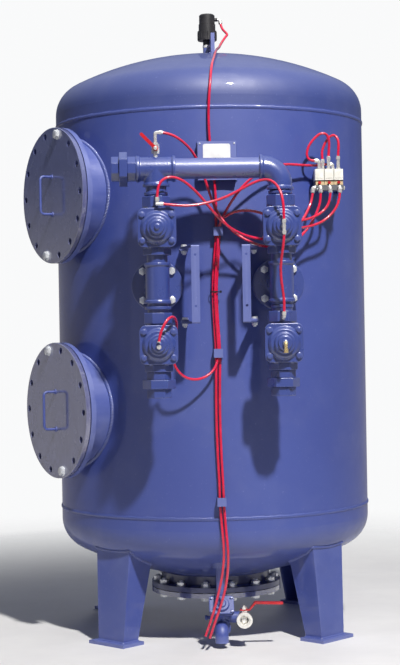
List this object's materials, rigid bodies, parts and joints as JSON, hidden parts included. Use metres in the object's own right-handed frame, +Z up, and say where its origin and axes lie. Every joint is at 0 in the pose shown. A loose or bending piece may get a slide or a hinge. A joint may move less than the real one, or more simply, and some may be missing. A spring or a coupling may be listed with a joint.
{
  "type": "pressurized pond filter",
  "caption": "Steel pressure vessel on legs with dished heads, bolted manholes, a front manifold of hydraulic valves with control tubing, an air valve and a drain set.",
  "frame": {"origin": "centre of the four anchor holes on the floor, on the vessel's axis", "axes": "+Z up the vessel's axis, -Y towards the front where the valve manifold stands, +X to the right seen from the front"},
  "size_m": [1.1054, 1.2491, 1.998],
  "materials": {
    "blue_paint": "glossy blue enamel over cast and welded steel",
    "zinc_steel": "bright zinc plating",
    "gasket_rubber": "black sheet rubber",
    "diaphragm_rubber": "moulded rubber over a steel stem",
    "label_white": "plain white label on a thin plate",
    "nickel_brass": "nickel-plated brass",
    "fitting_nickel": "nickel-plated push-in fittings",
    "red_lever": "red plastic-dipped steel",
    "grey_plastic": "grey moulded manifold",
    "coil_plastic": "white coil housings",
    "red_knob": "red moulded plastic",
    "black_plastic": "black glass-filled nylon",
    "float_plastic": "hollow plastic ball",
    "plate_coating": "coated steel plate",
    "strainer_plastic": "slotted plastic strainers",
    "pipe_plastic": "grey pressure pipe",
    "red_tube": "red polyurethane tube, 8 mm"
  },
  "bodies": {
    "vessel": {"vessel_shell": "blue_paint", "top_head": "blue_paint", "bottom_head": "blue_paint", "legs": "blue_paint", "foot_plates": "blue_paint", "upper_manhole_neck": "blue_paint", "lower_manhole_neck": "blue_paint", "bottom_manhole_neck": "blue_paint", "upper_manhole_cover": "blue_paint", "lower_manhole_cover": "blue_paint", "bottom_manhole_cover": "blue_paint", "cover_handles": "blue_paint", "shell_nozzles": "blue_paint", "flanged_tees": "blue_paint", "header_tee": "blue_paint", "header_pipe": "blue_paint", "header_elbow": "blue_paint", "pipe_nipples": "blue_paint", "union_nuts": "blue_paint", "valve_bodies": "blue_paint", "valve_bonnets": "blue_paint", "bonnet_bolts": "blue_paint", "panel_brackets": "blue_paint", "shell_brackets": "blue_paint", "drain_piping": "blue_paint", "drain_valve_body": "blue_paint", "cover_bolts": "zinc_steel", "flange_bolts": "zinc_steel", "flange_gaskets": "gasket_rubber", "nameplate": "label_white", "tap_valve_body": "nickel_brass", "drain_ball_valve_body": "nickel_brass", "tube_fittings": "fitting_nickel", "solenoid_base": "grey_plastic", "solenoid_coils": "coil_plastic", "air_valve_body": "black_plastic", "nozzle_plate": "plate_coating", "strainer_nozzles": "strainer_plastic", "internal_pipes": "pipe_plastic", "vent_tube": "red_tube", "pilot_drain_tube": "red_tube", "left_lower_tube": "red_tube", "supply_tube": "red_tube", "left_upper_tube": "red_tube", "upper_link_tube": "red_tube", "right_lower_tube": "red_tube", "right_upper_tube": "red_tube", "left_jumper_tube": "red_tube", "right_jumper_tube": "red_tube"},
    "left_upper_plunger": {"left_upper_valve_plunger": "diaphragm_rubber"},
    "right_upper_plunger": {"right_upper_valve_plunger": "diaphragm_rubber"},
    "left_lower_plunger": {"left_lower_valve_plunger": "diaphragm_rubber"},
    "right_lower_plunger": {"right_lower_valve_plunger": "diaphragm_rubber"},
    "drain_plunger": {"drain_valve_plunger": "diaphragm_rubber"},
    "tap_valve_lever": {"tap_valve_lever": "red_lever"},
    "drain_ball_valve_lever": {"drain_ball_valve_lever": "red_lever"},
    "air_valve_float": {"air_valve_float": "float_plastic"},
    "left_override_knob": {"left_override_knob": "red_knob"},
    "middle_override_knob": {"middle_override_knob": "red_knob"},
    "right_override_knob": {"right_override_knob": "red_knob"}
  },
  "joints": [
    {"name": "left_upper_plunger_slide", "type": "slide", "parent": "vessel", "child": "left_upper_plunger", "axis": [0, 1, 0], "range_m": [0, 0.0215], "stiffness_N_per_m": 400, "springref_m": -0.01},
    {"name": "right_upper_plunger_slide", "type": "slide", "parent": "vessel", "child": "right_upper_plunger", "axis": [0, 1, 0], "range_m": [0, 0.0215], "stiffness_N_per_m": 400, "springref_m": -0.01},
    {"name": "left_lower_plunger_slide", "type": "slide", "parent": "vessel", "child": "left_lower_plunger", "axis": [0, 1, 0], "range_m": [0, 0.0215], "stiffness_N_per_m": 400, "springref_m": -0.01},
    {"name": "right_lower_plunger_slide", "type": "slide", "parent": "vessel", "child": "right_lower_plunger", "axis": [0, 1, 0], "range_m": [0, 0.0215], "stiffness_N_per_m": 400, "springref_m": -0.01},
    {"name": "drain_plunger_slide", "type": "slide", "parent": "vessel", "child": "drain_plunger", "axis": [0, 0.8192, -0.5736], "range_m": [0, 0.008], "stiffness_N_per_m": 400, "springref_m": -0.008},
    {"name": "tap_lever_turn", "type": "hinge", "parent": "vessel", "child": "tap_valve_lever", "pos_m": [-0.184, -0.64, 1.486], "axis": [0, -1, 0], "range_deg": [-45, 45]},
    {"name": "drain_lever_turn", "type": "hinge", "parent": "vessel", "child": "drain_ball_valve_lever", "pos_m": [0.063, -0.432, 0.086], "axis": [0, 0, 1], "range_deg": [-90, 0]},
    {"name": "float_rise", "type": "slide", "parent": "vessel", "child": "air_valve_float", "axis": [0, 0, 1], "range_m": [0, 0.0215]},
    {"name": "left_override_turn", "type": "hinge", "parent": "vessel", "child": "left_override_knob", "pos_m": [0.309, -0.47, 1.398], "axis": [0, -1, 0], "range_deg": [0, 90]},
    {"name": "middle_override_turn", "type": "hinge", "parent": "vessel", "child": "middle_override_knob", "pos_m": [0.338, -0.47, 1.398], "axis": [0, -1, 0], "range_deg": [0, 90]},
    {"name": "right_override_turn", "type": "hinge", "parent": "vessel", "child": "right_override_knob", "pos_m": [0.367, -0.47, 1.398], "axis": [0, -1, 0], "range_deg": [0, 90]}
  ]
}
